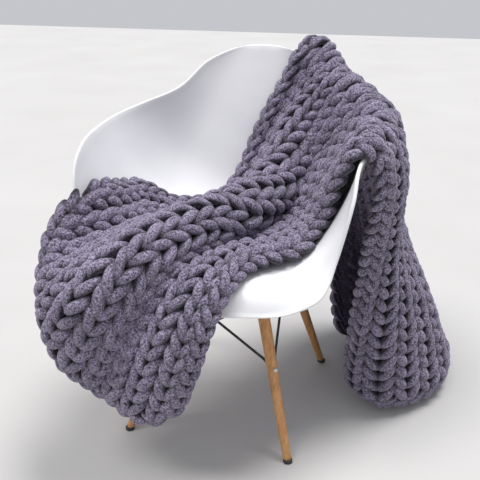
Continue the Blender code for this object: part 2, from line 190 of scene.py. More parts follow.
# ---- the fold lines of the blanket
# The cross sections from the front hem to the side hem.  Each gives x, y, z of
# the middle of the cloth in cm on eight fold lines: near edge, near panel,
# groove, ridge nose, ridge crest, ridge back, bowl and far edge.
FOLDS = {
    "front hem": (
        (-1.5, -34.5, 16.0), (-9.5, -35.5, 17.0), (-18.0, -34.4, 21.0),
        (-24.5, -36.3, 27.5), (-28.8, -34.8, 34.8), (-31.5, -30.5, 42.0),
        (-31.5, -26.0, 51.0), (-28.0, -20.0, 61.3)),
    "front drop": (
        (3.0, -34.5, 30.0), (-3.5, -35.0, 32.0), (-12.3, -33.6, 32.0),
        (-16.4, -37.6, 39.4), (-19.8, -38.0, 43.4), (-23.5, -30.5, 46.0),
        (-22.5, -20.0, 49.3), (-25.0, -9.0, 57.2)),
    "front roll": (
        (7.0, -30.0, 43.0), (1.0, -30.2, 44.0), (-5.2, -28.8, 44.5),
        (-8.3, -31.8, 50.0), (-10.8, -30.4, 52.8), (-14.5, -19.5, 51.0),
        (-17.0, -11.0, 49.5), (-23.0, -1.0, 55.0)),
    "seat": (
        (11.5, -21.0, 47.6), (6.5, -17.0, 47.4), (2.1, -14.9, 47.6),
        (0.8, -16.0, 52.5), (-1.4, -13.2, 55.9), (-6.8, -7.5, 50.8),
        (-12.5, -2.5, 47.2), (-18.0, 5.0, 49.3)),
    "seat rear": (
        (19.8, -17.6, 50.0), (13.3, -11.0, 47.6), (6.2, -5.0, 47.3),
        (7.4, -7.6, 53.2), (3.9, -3.9, 56.8), (-1.0, 1.0, 51.0),
        (-6.0, 7.0, 47.0), (-10.5, 11.0, 48.0)),
    "wall foot": (
        (23.5, -12.5, 54.3), (18.5, -4.0, 50.5), (12.2, 7.0, 49.2),
        (12.2, 7.9, 56.0), (7.7, 7.7, 59.2), (3.4, 11.6, 55.0),
        (-0.5, 15.2, 52.0), (-4.0, 16.5, 53.0)),
    "wall": (
        (25.8, -11.6, 62.8), (23.5, -2.5, 60.0), (18.5, 10.5, 58.0),
        (16.5, 16.5, 66.0), (12.5, 17.5, 70.0), (10.0, 19.5, 70.0),
        (5.5, 21.0, 66.0), (1.8, 21.5, 68.0)),
    "rim": (
        (29.6, -10.8, 69.6), (31.4, -1.0, 71.9), (30.0, 9.0, 73.4),
        (24.5, 16.0, 76.3), (20.5, 20.5, 77.8), (17.0, 24.5, 80.0),
        (14.6, 26.3, 82.6), (10.2, 27.7, 83.6)),
    "upper drop": (
        (33.0, -8.5, 63.0), (35.4, 1.0, 62.0), (34.4, 10.5, 62.0),
        (31.0, 17.0, 67.0), (25.5, 23.0, 69.0), (20.5, 28.0, 72.0),
        (16.5, 32.0, 75.0), (12.0, 32.8, 77.0)),
    "mid drop": (
        (31.3, -2.5, 45.0), (35.2, 2.0, 44.0), (35.8, 9.0, 44.0),
        (35.2, 17.0, 45.0), (32.5, 27.0, 46.0), (26.0, 36.0, 47.0),
        (21.0, 40.0, 48.0), (15.5, 37.5, 50.0)),
    "low drop": (
        (29.3, 3.0, 22.0), (36.5, 2.5, 22.0), (42.0, 8.5, 22.0),
        (45.0, 17.5, 22.0), (40.0, 31.0, 23.0), (33.0, 41.0, 24.0),
        (25.0, 43.0, 25.0), (20.0, 33.0, 25.0)),
    "side hem": (
        (28.0, 7.0, 2.4), (38.0, 4.0, 2.4), (46.5, 10.0, 2.4),
        (51.0, 19.0, 2.4), (50.5, 32.0, 2.6), (41.0, 43.0, 2.6),
        (30.0, 41.0, 2.6), (23.8, 25.0, 2.8)),
}
RIM_SECTION = list(FOLDS).index("rim")


# ---- curve help
def smooth_through(points, at):
    """Smooth curve through rows of points, read at the given places."""
    last = len(points) - 1
    span = np.clip(at.astype(int), 0, last - 1)
    part = (at - span).reshape((-1,) + (1,) * (points.ndim - 1))
    ends = [2 * points[0] - points[1]], [2 * points[-1] - points[-2]]
    rows = np.concatenate([ends[0], points, ends[1]])
    a, b, c, d = rows[span], rows[span + 1], rows[span + 2], rows[span + 3]
    return 0.5 * (2 * b + (c - a) * part
                  + (2 * a - 5 * b + 4 * c - d) * part ** 2
                  + (3 * b - a - 3 * c + d) * part ** 3)


def unit(vectors):
    return vectors / np.maximum(np.linalg.norm(vectors, axis=-1, keepdims=True), 1e-12)


def sheet_normals(grid):
    """Unit normals of a grid of points."""
    return unit(np.cross(np.gradient(grid, axis=0), np.gradient(grid, axis=1)))


def grid_faces(rows, columns):
    return [(i * columns + j, (i + 1) * columns + j, (i + 1) * columns + j + 1,
             i * columns + j + 1) for i in range(rows - 1) for j in range(columns - 1)]


def border_places(rows, columns):
    """The border of a grid as pairs i, j, once round from its first corner."""
    places = [(0, j) for j in range(columns)]
    places += [(i, columns - 1) for i in range(1, rows)]
    places += [(rows - 1, j) for j in range(columns - 2, -1, -1)]
    return places + [(i, 0) for i in range(rows - 2, 0, -1)]


def both_sides(middle, front, half):
    """Points and faces of the two sides of a sheet, still open at its border."""
    points = [(middle + front * half).reshape(-1, 3),
              (middle - front * half).reshape(-1, 3)]
    faces = grid_faces(*middle.shape[:2])
    faces += [tuple(k + len(points[0]) for k in reversed(face)) for face in faces]
    return points, faces


def belt(one, two):
    """Faces between two rings of as many points."""
    count = len(one)
    return [(one[k], one[(k + 1) % count], two[(k + 1) % count], two[k])
            for k in range(count)]


# ---- materials
class Finish:
    """A material being built, its nodes joined by short calls."""

    def __init__(self, name, colour, roughness, **constants):
        self.material = bpy.data.materials.new(name)
        self.material.use_nodes = True
        self.material.diffuse_color = (*colour, 1.0)
        self.nodes = self.material.node_tree.nodes
        self.links = self.material.node_tree.links
        self.shader = self.nodes["Principled BSDF"]
        self.shader.inputs["Base Color"].default_value = (*colour, 1.0)
        self.shader.inputs["Roughness"].default_value = roughness
        for words, value in constants.items():
            self.shader.inputs[words.replace("_", " ")].default_value = value

    def add(self, kind, settings=(), **inputs):
        node = self.nodes.new(kind)
        for name, value in dict(settings).items():
            setattr(node, name, value)
        for name, value in inputs.items():
            socket = node.inputs[name.replace("_", " ")]
            if isinstance(value, bpy.types.NodeSocket):
                self.links.new(value, socket)
            else:
                socket.default_value = value
        return node

    def place(self, scale=(1, 1, 1)):
        where = self.add("ShaderNodeTexCoord").outputs["Object"]
        return self.add("ShaderNodeMapping", Vector=where, Scale=scale).outputs["Vector"]

    def noise(self, place, scale, detail=3.0, roughness=0.5, distortion=0.0):
        return self.add("ShaderNodeTexNoise", Vector=place, Scale=scale, Detail=detail,
                        Roughness=roughness, Distortion=distortion).outputs["Fac"]

    def reading(self, name):
        """What the mesh says under the given name, or nought."""
        return self.add("ShaderNodeAttribute", {"attribute_name": name}).outputs["Fac"]

    def ramp(self, fac, *stops):
        """Colours or greys, each with the place it stands at."""
        node = self.add("ShaderNodeValToRGB", Fac=fac)
        marks = node.color_ramp.elements
        while len(marks) < len(stops):
            marks.new(0.5)
        for mark, (at, tone) in zip(marks, stops):
            mark.position = at
            mark.color = (*tone, 1.0) if hasattr(tone, "__len__") else (
                tone, tone, tone, 1.0)
        return node.outputs["Color"]

    def tinted(self, colour, by, share=1.0):
        node = self.add("ShaderNodeMix", {"data_type": "RGBA", "blend_type": "MULTIPLY"})
        node.inputs[0].default_value = share
        self.links.new(colour, node.inputs[6])
        self.links.new(by, node.inputs[7])
        return node.outputs[2]

    def bump(self, height, strength, distance, under=None):
        more = {"Normal": under} if under else {}
        return self.add("ShaderNodeBump", Height=height, Strength=strength,
                        Distance=distance, **more).outputs["Normal"]

    def join(self, **outputs):
        for name, output in outputs.items():
            self.links.new(output, self.shader.inputs[name.replace("_", " ")])
        return self.material


def chenille(name, dark, middle, light):
    """Plush yarn: short pile in tufts, darker between them, paler at the tips, with
    painted shade at the loop heads and along the yarn's flanks.
    """
    finish = Finish(name, middle, 0.95, Sheen_Weight=0.35, Sheen_Roughness=0.55,
                    Sheen_Tint=(0.78, 0.75, 0.85, 1.0), Specular_IOR_Level=0.15)
    place = finish.place()
    tufts = finish.noise(place, 240.0, 2.0, 0.6)
    specks = finish.noise(place, 330.0, 1.0)
    drift = finish.noise(place, 14.0, 2.0)
    colour = finish.ramp(tufts, (0.30, dark), (0.48, middle), (0.72, light))
    for fac, *stops in ((specks, (0.37, 0.26), (0.50, 1.10)),
                        (drift, (0.30, 0.88), (0.70, 1.12)),
                        (finish.reading("stitch"), (0.0, 0.92), (1.0, 1.08)),
                        # painted shade at the loop heads, darkest where the yarn tucks
                        # behind
                        (finish.reading("tuck_shade"), (0.25, 1.0), (0.85, 0.28)),
                        # painted shade along the yarn's flanks, where strands lie
                        # against each other
                        (finish.reading("flank_shade"), (0.24, 1.0), (0.82, 0.10))):
        colour = finish.tinted(colour, finish.ramp(fac, *stops))
    pile = finish.bump(specks, 0.5, 0.0016, finish.bump(tufts, 0.8, 0.0030))
    rough = finish.ramp(tufts, (0.3, 1.0), (0.7, 0.86))
    return finish.join(Base_Color=colour, Normal=pile, Roughness=rough)


def moulded_plastic():
    finish = Finish("shell_plastic", (0.86, 0.86, 0.87), 0.34, Coat_Weight=0.15,
                    Coat_Roughness=0.25, Specular_IOR_Level=0.45)
    place = finish.place()
    cloud = finish.noise(place, 9.0, 4.0)
    grain = finish.noise(place, 900.0, 2.0)
    scuff = finish.noise(finish.place((1, 1, 6)), 60.0, 5.0, 0.7)
    colour = finish.ramp(cloud, (0.3, (0.835, 0.838, 0.860)),
                         (0.7, (0.875, 0.877, 0.895)))
    rough = finish.ramp(scuff, (0.35, 0.30), (0.75, 0.42))
    return finish.join(Base_Color=colour, Roughness=rough,
                       Normal=finish.bump(grain, 0.12, 0.0004))


def turned_beech(name, pale, dark):
    finish = Finish(name, pale, 0.42, Coat_Weight=0.18, Coat_Roughness=0.35)
    along = finish.place((1, 1, 0.06))
    fibre = finish.noise(along, 260.0, 4.0, 0.6, 0.4)
    bands = finish.noise(along, 60.0, 3.0, 0.5, 1.2)
    flecks = finish.noise(finish.place((1, 1, 0.18)), 620.0, 1.0)
    colour = finish.ramp(bands, (0.35, dark), (0.62, pale))
    colour = finish.tinted(colour, finish.ramp(fibre, (0.35, 0.80), (0.60, 1.04)))
    colour = finish.tinted(colour, finish.ramp(flecks, (0.30, 0.72), (0.38, 1.0)), 0.7)
    rough = finish.ramp(fibre, (0.3, 0.52), (0.7, 0.38))
    return finish.join(Base_Color=colour, Roughness=rough,
                       Normal=finish.bump(fibre, 0.25, 0.0005))


def coated_steel():
    finish = Finish("black_steel", (0.018, 0.018, 0.020), 0.42)
    place = finish.place()
    peel = finish.noise(place, 700.0, 2.0)
    wear = finish.noise(place, 90.0, 5.0, 0.7)
    colour = finish.ramp(wear, (0.40, (0.014, 0.014, 0.016)),
                         (0.78, (0.05, 0.05, 0.052)))
    rough = finish.ramp(wear, (0.3, 0.48), (0.8, 0.34))
    return finish.join(Base_Color=colour, Roughness=rough,
                       Normal=finish.bump(peel, 0.2, 0.0003))


def bright_steel():
    finish = Finish("bolt_steel", (0.62, 0.62, 0.62), 0.3, Metallic=1.0)
    brushed = finish.noise(finish.place((1, 1, 0.1)), 900.0, 3.0)
    stain = finish.noise(finish.place(), 200.0, 4.0)
    colour = finish.ramp(stain, (0.3, (0.52, 0.52, 0.53)), (0.7, (0.70, 0.70, 0.69)))
    rough = finish.ramp(brushed, (0.3, 0.25), (0.7, 0.40))
    return finish.join(Base_Color=colour, Roughness=rough,
                       Normal=finish.bump(brushed, 0.15, 0.0002))


def moulded_rubber():
    finish = Finish("glide_rubber", (0.03, 0.03, 0.03), 0.75)
    dust = finish.noise(finish.place(), 120.0, 5.0, 0.7)
    colour = finish.ramp(dust, (0.35, (0.022, 0.022, 0.023)),
                         (0.8, (0.07, 0.068, 0.065)))
    rough = finish.ramp(dust, (0.3, 0.68), (0.8, 0.88))
    return finish.join(Base_Color=colour, Roughness=rough,
                       Normal=finish.bump(dust, 0.2, 0.0004))

YARN = chenille("chenille_yarn", (0.086, 0.072, 0.112), (0.190, 0.164, 0.238),
                (0.360, 0.319, 0.434))
# near-black yarn colours: painted shade for the gaps between the stitches
GAP_SHADE_YARN = chenille("gap_shade_yarn", (0.024, 0.019, 0.030), (0.044, 0.037, 0.055),
                      (0.075, 0.065, 0.092))
PLASTIC = moulded_plastic()
BEECH = turned_beech("beech", (0.620, 0.325, 0.125), (0.500, 0.230, 0.075))
BLACK_STEEL = coated_steel()
BOLT_STEEL = bright_steel()
RUBBER = moulded_rubber()


# ---- mesh makers
def added(name, data):
    """A new object in the scene."""
    thing = bpy.data.objects.new(name, data)
    bpy.context.scene.collection.objects.link(thing)
    return thing


def lay_flat(mesh, name, places):
    """Store where each point of a mesh lies when it is laid flat."""
    corners = np.zeros(len(mesh.loops), int)
    mesh.loops.foreach_get("vertex_index", corners)
    mesh.uv_layers.new(name=name).data.foreach_set(
        "uv", places[corners].astype(np.float32).ravel())


def new_piece(name, points, faces, finish, smooth=True, uv=None):
    """A mesh object in the row frame, from points about the chair's middle."""
    mesh = bpy.data.meshes.new(name)
    mesh.from_pydata((np.asarray(points, float) + MIDDLE).tolist(), [], faces)
    mesh.materials.append(finish)
    if smooth:
        mesh.shade_smooth()
    if uv is not None:
        lay_flat(mesh, "flat", uv)
    piece = added(name, mesh)
    return piece


def face_outward(piece):
    work = bmesh.new()
    work.from_mesh(piece.data)
    bmesh.ops.recalc_face_normals(work, faces=work.faces[:])
    if work.calc_volume(signed=True) < 0:
        bmesh.ops.reverse_faces(work, faces=work.faces[:])
    work.to_mesh(piece.data)
    work.free()
    return piece


def joined(name, parts, finish):
    """One piece from several lists of points and faces."""
    points, faces, start = [], [], 0
    for some_points, some_faces in parts:
        points.append(np.asarray(some_points, float))
        faces += [tuple(k + start for k in face) for face in some_faces]
        start += len(some_points)
    return face_outward(new_piece(name, np.concatenate(points), faces, finish))


def turned(centres, radii, sides, sideways=None, upward=None):
    """Points and faces of a closed turned form; rings are level unless told."""
    side = np.array((1.0, 0, 0)) if sideways is None else np.array(sideways)
    over = np.array((0, 1.0, 0)) if upward is None else np.array(upward)
    turn = np.arange(sides) * 2 * np.pi / sides
    ring = np.cos(turn)[:, None] * side + np.sin(turn)[:, None] * over
    points = np.concatenate([np.array(c) + ring * r for c, r in zip(centres, radii)]
                            + [[np.array(centres[0])], [np.array(centres[-1])]])
    count = len(radii)
    faces = []
    for i in range(count - 1):
        for k in range(sides):
            n = (k + 1) % sides
            faces.append((i * sides + k, i * sides + n,
                          (i + 1) * sides + n, (i + 1) * sides + k))
    for k in range(sides):
        n = (k + 1) % sides
        faces.append((count * sides, n, k))
        faces.append((count * sides + 1, (count - 1) * sides + k,
                      (count - 1) * sides + n))
    return points, faces


def bar(start, end, radius, sides=16, ends=0.0008):
    """A straight round bar with eased ends."""
    start, end = np.array(start), np.array(end)
    axis = (end - start) / np.linalg.norm(end - start)
    side = np.array(Vector(axis).orthogonal().normalized())
    over = np.cross(axis, side)
    centres = [start, start + axis * ends, end - axis * ends, end]
    return turned(centres, [radius - ends, radius, radius, radius - ends], sides,
                  side, over)


# ---- the form of the shell
def shell_grid(rows, half_columns):
    """The inner face of the shell as a grid, front to top, left to right."""
    table = np.array([row[1:] for row in SHELL_SECTIONS]) * CM
    at = np.linspace(0, len(table) - 1, rows)
    read = dict(zip(SHELL_COLUMNS, smooth_through(table, at).T[:, :, None]))
    across = np.linspace(-1, 1, 2 * half_columns + 1)
    turn = np.abs(across)[None, :]
    side = np.sign(across)[None, :]
    weights = ((1 - turn) ** 3, 3 * (1 - turn) ** 2 * turn,
               3 * (1 - turn) * turn ** 2, turn ** 3)
    x = (weights[1] * read["flat"] + weights[2] * (read["rim_x"] - read["rise_x"])
         + weights[3] * read["rim_x"]) * side
    middle = weights[0] + weights[1]
    y = (middle * read["mid_y"] + weights[2] * (read["rim_y"] + read["rise_y"])
         + weights[3] * read["rim_y"])
    z = (middle * read["mid_z"] + weights[2] * (read["rim_z"] - read["rise_z"])
         + weights[3] * read["rim_z"])
    return np.stack([x, y, z], axis=2)


# ---- the form of the cloth
def surface_tree(grid):
    """Search tree of a grid of points, its faces turned to the sitter."""
    rows, columns = grid.shape[:2]
    faces = []
    for i in range(rows - 1):
        for j in range(columns - 1):
            a = i * columns + j
            faces.append((a, a + 1, a + columns + 1, a + columns))
    return BVHTree.FromPolygons([Vector(p) for p in grid.reshape(-1, 3)], faces)


def section_places(steps):
    """Places along the sections, closer together where the cloth bends."""
    places = [span + k / count for span, count in enumerate(steps) for k in range(count)]
    return np.array(places + [float(len(steps))])


def blanket_grid(places):
    """The middle of the draped cloth as a grid, near edge to far edge."""
    lines = np.array(list(FOLDS.values())).transpose(1, 0, 2) * CM
    folds = np.linspace(0, len(lines) - 1, (len(lines) - 1) * FOLD_STEPS + 1)
    grid = smooth_through(lines, folds)
    along = smooth_through(grid.transpose(1, 0, 2), places)
    return along.transpose(1, 0, 2)


def edge_taper(grid):
    """Half thickness: full in the middle, thinner along all four edges."""
    rows, columns = grid.shape[:2]
    u = np.linspace(0, 1, rows)[:, None]
    v = np.linspace(0, 1, columns)[None, :]
    inset = np.minimum(np.minimum(u, 1 - u), np.minimum(v, 1 - v)) / HEM_TAPER
    ease = np.sin(np.clip(inset, 0, 1) * np.pi / 2)
    return (HEM_THICK + (CLOTH_THICK - HEM_THICK) * ease) / 2


def touch_groups(rows, columns):
    """Where the cloth is felt: each place as the grid points it is the mean of."""
    groups = [((i, j),) for i in range(rows) for j in range(columns)]
    groups += [((i, j), (i + 1, j)) for i in range(rows - 1) for j in range(columns)]
    for i in range(rows):
        for j in range(columns - 1):
            here, after = (i, j), (i, j + 1)
            groups += [(here, after), (here, here, after), (here, after, after)]
            if i < rows - 1:
                beside, beyond = (i + 1, j), (i + 1, j + 1)
                groups += [(here, after, beside, beyond),
                           (here, here, after, beside, beside, beyond),
                           (here, after, after, beside, beyond, beyond)]
    return groups


def rest_on(grid, half, places, support):
    """Ease the cloth off the shell until all of it lies clear.

    Before the rim the cloth lies on the sitter's side, past it on the outside.
    """
    tree = surface_tree(support)
    out = grid.copy()
    groups = touch_groups(*grid.shape[:2])
    for _ in range(SETTLE_PASSES):
        push = np.zeros_like(out)
        share = np.zeros(out.shape[:2] + (1,))
        for group in groups:
            here = Vector(sum(out[c] for c in group) / len(group))
            need = max(half[c] for c in group) + SHELL_THICK / 2 + CLOTH_CLEAR
            before = RIM_SECTION > sum(places[j] for i, j in group) / len(group)
            place, normal, face, gap = tree.find_nearest(here)
            if not before:
                normal = -normal
            depth = (here - place).dot(normal)
            if depth < -THROUGH * gap:
                move = normal * (need - depth)
            elif gap < need - 1e-5:
                move = (here - place).normalized() * (need - gap)
            else:
                continue
            for c in group:
                push[c] += move
                share[c] += 1
        if not share.any():
            break
        out += push / np.maximum(share, 1)
    return out


# ---- the laid-out cloth
def respread(points, count, own=0.7):
    """Space lines of points evenly along their first axis.

    own is how far each line keeps to its own lengths, and not to their mean.
    """
    step = np.linalg.norm(np.diff(points, axis=0), axis=2)
    run = np.vstack([np.zeros((1, step.shape[1])), np.cumsum(step, axis=0)])
    run = run / run[-1]
    run = own * run + (1 - own) * run.mean(axis=1, keepdims=True)
    wanted = np.linspace(0, 1, count)
    at = np.stack([np.interp(wanted, line, np.arange(len(line))) for line in run.T], 1)
    low = np.clip(at.astype(int), 0, len(points) - 2)
    part = (at - low)[..., None]
    which = np.arange(points.shape[1])[None, :]
    return points[low, which] * (1 - part) + points[low + 1, which] * part


def eased(values, passes):
    """Even out a grid of values, its border kept in place along the border."""
    for _ in range(passes):
        wide = np.pad(values, ((1, 1), (1, 1), (0, 0)), mode="edge")
        values = (4 * values + wide[:-2, 1:-1] + wide[2:, 1:-1]
                  + wide[1:-1, :-2] + wide[1:-1, 2:]) / 8
    return values


def rounded_corners(grid):
    """Draw the four corners of the cloth in, so that none of them is a point."""
    out = grid.copy()
    rows, columns = grid.shape[:2]
    wide, tall = CORNER_WALES * WALE_STEPS, CORNER_ROWS * ROW_STEPS
    near = (1 - np.minimum(np.arange(rows) / wide, 1)) ** 2
    front = (1 - np.minimum(np.arange(columns) / tall, 1)) ** 2
    for flip_i in (1, -1):
        for flip_j in (1, -1):
            i = wide if flip_i > 0 else rows - 1 - wide
            j = tall if flip_j > 0 else columns - 1 - tall
            corner = grid[0 if flip_i > 0 else -1, 0 if flip_j > 0 else -1]
            weight = near[::flip_i, None] * front[None, ::flip_j] * CORNER_DRAW
            out += weight[..., None] * (grid[i, j] - corner)
    return out


def cloth_by_stitches(coarse):
    """The middle of the cloth again, in even wales and rows."""
    fine = coarse
    for count in (FINE_ACROSS, FINE_ALONG):
        fine = smooth_through(fine, np.linspace(0, len(fine) - 1, count))
        fine = fine.transpose(1, 0, 2)
    for count in (WALES * WALE_STEPS + 1, ROWS * ROW_STEPS + 1):
        fine = respread(fine, count).transpose(1, 0, 2)
    return rounded_corners(fine)


def grown(grid, steps):
    """The grid carried straight on past all four borders."""
    for axis in (0, 1):
        first, second = np.take(grid, 0, axis), np.take(grid, 1, axis)
        last, before = np.take(grid, -1, axis), np.take(grid, -2, axis)
        head = [first + (first - second) * k for k in range(steps, 0, -1)]
        tail = [last + (last - before) * k for k in range(1, steps + 1)]
        grid = np.concatenate([np.stack(head, axis), grid, np.stack(tail, axis)], axis)
    return grid


SHELL = shell_grid(SHELL_ROWS, SHELL_HALF_COLUMNS)
PLACES = section_places(SECTION_STEPS)
COARSE = blanket_grid(PLACES)
COARSE = rest_on(COARSE, edge_taper(COARSE), PLACES, SHELL)
CLOTH = cloth_by_stitches(COARSE)
FRONT = unit(eased(sheet_normals(CLOTH), FRONT_EASE))
if FRONT[CLOTH.shape[0] // 3, CLOTH.shape[1] // 3, 2] < 0:
    FRONT = -FRONT

# ---- the knit
KNIT_COUNTS = {"Wales": WALES, "Rows": ROWS, "First row": 0, "Rows here": ROWS,
               "Points a loop": LOOP_POINTS, "Yarn sides": YARN_SIDES, "Seed": 7}
KNIT_MEASURES = {"Wale margin": 0.0, "Row margin": 0.0, "Loop reach": 0.84,
                 "Loop lean": -0.05, "Loop depth": 0.0088, "Lift": 0.0098,
                 "Loop tilt": 0.0064, "Plumpness": 0.24, "Yarn radius": YARN_RADIUS,
                 "Unevenness": 0.0020, "Pile": 0.0008}


class Knitting:
    """A node tree being built, its nodes joined by short calls."""

    def __init__(self, name):
        self.tree = bpy.data.node_groups.new(name, "GeometryNodeTree")
        self.tree.is_modifier = True
        self.ids = {}

    def ask(self, kind, defaults):
        for name, default in defaults.items():
            socket = self.tree.interface.new_socket(
                name, in_out="INPUT", socket_type="NodeSocket" + kind)
            if default is not None:
                socket.default_value = default
            self.ids[name] = socket.identifier

    def node(self, kind, settings=(), inputs=()):
        node = self.tree.nodes.new(kind)
        for name, value in dict(settings).items():
            setattr(node, name, value)
        for name, value in dict(inputs).items():
            socket = node.inputs[name]
            if isinstance(value, bpy.types.NodeSocket):
                self.tree.links.new(value, socket)
            else:
                socket.default_value = value
        return node

    def first(self, kind, settings=(), inputs=()):
        return self.node(kind, settings, inputs).outputs[0]

    def math(self, operation, a, b=0.0):
        return self.first("ShaderNodeMath", {"operation": operation}, {0: a, 1: b})

    def add(self, a, b):
        return self.math("ADD", a, b)

    def minus(self, a, b):
        return self.math("SUBTRACT", a, b)

    def times(self, a, b):
        return self.math("MULTIPLY", a, b)

    def vector(self, operation, a, b=(0, 0, 0)):
        return self.first("ShaderNodeVectorMath", {"operation": operation}, {0: a, 1: b})

    def stretch(self, a, by):
        return self.first("ShaderNodeVectorMath", {"operation": "SCALE"},
                          {0: a, "Scale": by})

    def read(self, name, kind="FLOAT"):
        return self.first("GeometryNodeInputNamedAttribute", {"data_type": kind},
                          {"Name": name})

    def write(self, geometry, name, value, kind="FLOAT"):
        return self.first("GeometryNodeStoreNamedAttribute", {"data_type": kind},
                          {"Geometry": geometry, "Name": name, "Value": value})


def knit_tree():
    """Rows of yarn looped over a guide sheet: legs in front, heads behind.

    The guide carries "fabric", its wales and rows from 0 to 1, "front", the way
    the right side faces, and "gauge", how thick the yarn is there.
    """
    k = Knitting("knit_rows")
    k.ask("Geometry", {"Guide": None})
    k.ask("Int", KNIT_COUNTS)
    k.ask("Float", KNIT_MEASURES)
    k.ask("Material", {"Yarn": None})
    k.tree.interface.new_socket("Knit", in_out="OUTPUT",
                                socket_type="NodeSocketGeometry")
    given = k.node("NodeGroupInput").outputs
    wales, rows, each = given["Wales"], given["Rows"], given["Points a loop"]
    in_row = k.add(k.times(wales, each), 1.0)
    points = k.first("GeometryNodePoints", (),
                     {"Count": k.times(in_row, given["Rows here"])})

    # where each point of the yarn is, in wales and rows
    index = k.first("GeometryNodeInputIndex")
    row = k.math("FLOOR", k.math("DIVIDE", k.add(index, 0.5), in_row))
    along = k.math("DIVIDE", k.minus(index, k.times(row, in_row)), each)
    turn = k.times(along, 2 * np.pi)
    twice = k.times(turn, 2.0)
    lean = k.times(k.math("SINE", twice), given["Loop lean"])
    across = k.math("DIVIDE", k.add(along, lean), wales)
    reach = k.times(k.math("COSINE", turn), given["Loop reach"])
    number = k.add(row, given["First row"])
    up = k.math("DIVIDE", k.add(k.add(number, 0.5), reach), rows)

    def inset(value, margin):
        return k.add(k.times(value, k.minus(1.0, k.times(margin, 2.0))), margin)

    place = k.first("ShaderNodeCombineXYZ", (), {
        "X": inset(across, given["Wale margin"]), "Y": inset(up, given["Row margin"])})

    def sample(value, kind="FLOAT_VECTOR"):
        return k.first("GeometryNodeSampleUVSurface", {"data_type": kind}, {
            "Mesh": given["Guide"], "Value": value,
            "UV Map": k.read("fabric", "FLOAT_VECTOR"), "Sample UV": place})

    # how far it stands out there, and how thick it is
    spot = sample(k.first("GeometryNodeInputPosition"))
    front = k.vector("NORMALIZE", sample(k.read("front", "FLOAT_VECTOR")))
    gauge = sample(k.read("gauge"), "FLOAT")
    depth = k.times(k.math("COSINE", twice), given["Loop depth"])
    tilt = k.times(k.math("COSINE", turn), given["Loop tilt"])
    proud = k.minus(k.minus(given["Lift"], depth), tilt)
    stitch = k.node("FunctionNodeRandomValue", {"data_type": "FLOAT"}, {
        "ID": k.add(k.times(number, 97.0), k.math("FLOOR", k.times(along, 2.0))),
        "Seed": given["Seed"]}).outputs[1]
    wander = k.node("ShaderNodeTexNoise", (), {
        "Vector": spot, "Scale": WANDER_SCALE, "Detail": 1.0}).outputs["Color"]
    wander = k.stretch(k.vector("SUBTRACT", wander, (0.5, 0.5, 0.5)),
                       k.times(given["Unevenness"], 4.0))
    swell = k.add(1.0, k.times(k.minus(stitch, 0.5), SWELL))
    plump = k.minus(1.0, k.times(k.math("COSINE", twice), given["Plumpness"]))
    from_end = k.math("MINIMUM", along, k.minus(wales, along))
    blunt = k.node("ShaderNodeMapRange", {}, {
        "Value": from_end, "From Max": END_TAPER, "To Min": END_LEAST}).outputs["Result"]
    blunt = k.math("POWER", blunt, 0.5)
    thick = k.times(k.times(gauge, given["Yarn radius"]),
                    k.times(k.times(swell, plump), blunt))
    laid = k.vector("ADD", k.vector("ADD", spot, k.stretch(front, proud)), wander)
    points = k.first("GeometryNodeSetPosition", (), {
        "Geometry": points, "Position": laid})
    points = k.write(points, "stitch", stitch)
    points = k.write(points, "thick", thick)
    points = k.write(points, "right_side", front, "FLOAT_VECTOR")
    # weight at the loop heads, where the yarn tucks behind: used for painted shade in
    # the material
    points = k.write(points, "tuck_shade", k.add(k.times(k.math("COSINE", twice), 0.5), 0.5))

    # the yarn itself, its ends closed
    lines = k.first("GeometryNodePointsToCurves", (), {
        "Points": points, "Curve Group ID": row})
    ring = k.first("GeometryNodeCurvePrimitiveCircle", {"mode": "RADIUS"}, {
        "Resolution": given["Yarn sides"], "Radius": 1.0})
    yarn = k.first("GeometryNodeCurveToMesh", (), {
        "Curve": lines, "Profile Curve": ring, "Scale": k.read("thick"),
        "Fill Caps": True})
    # painted shade along the yarn's flanks: darker where its surface faces sideways to
    # the right side
    normal = k.first("GeometryNodeInputNormal")
    facing = k.node("ShaderNodeVectorMath", {"operation": "DOT_PRODUCT"}, {
        0: normal, 1: k.read("right_side", "FLOAT_VECTOR")}).outputs["Value"]
    yarn = k.write(yarn, "flank_shade", k.minus(1.0, k.math("ABSOLUTE", facing)))
    # the painted shade at the heads is kept to the side of the yarn that faces the right
    # side
    before = k.node("ShaderNodeMapRange", {"interpolation_type": "SMOOTHSTEP"}, {
        "Value": facing, "From Min": -0.7, "From Max": 0.1}).outputs["Result"]
    yarn = k.write(yarn, "tuck_shade", k.times(k.read("tuck_shade"), before))
    tufts = k.node("ShaderNodeTexNoise", (), {
        "Vector": k.first("GeometryNodeInputPosition"),
        "Scale": TUFT_SCALE, "Detail": 1.0}).outputs["Fac"]
    rise = k.times(k.minus(tufts, 0.5), k.times(given["Pile"], 3.0))
    yarn = k.first("GeometryNodeSetPosition", (), {
        "Geometry": yarn, "Offset": k.stretch(normal, rise)})
    yarn = k.first("GeometryNodeSetShadeSmooth", (), {"Geometry": yarn})
    yarn = k.first("GeometryNodeRealizeInstances", (), {"Geometry": yarn})
    yarn = k.first("GeometryNodeSetMaterial", (), {
        "Geometry": yarn, "Material": given["Yarn"]})
    k.node("NodeGroupOutput", (), {"Knit": yarn})
    return k


KNIT = knit_tree()

def guide_sheet(grid, front, gauge, fabric):
    """The sheet the yarn is laid over; it is removed once the knit is made."""
    rows, columns = grid.shape[:2]
    mesh = bpy.data.meshes.new("guide")
    mesh.from_pydata(grid.reshape(-1, 3).tolist(), [], grid_faces(rows, columns))
    lay_flat(mesh, "fabric", fabric.reshape(-1, 2))
    mesh.attributes.new("front", "FLOAT_VECTOR", "POINT").data.foreach_set(
        "vector", front.reshape(-1, 3).astype(np.float32).ravel())
    mesh.attributes.new("gauge", "FLOAT", "POINT").data.foreach_set(
        "value", gauge.ravel().astype(np.float32))
    return added("guide", mesh)


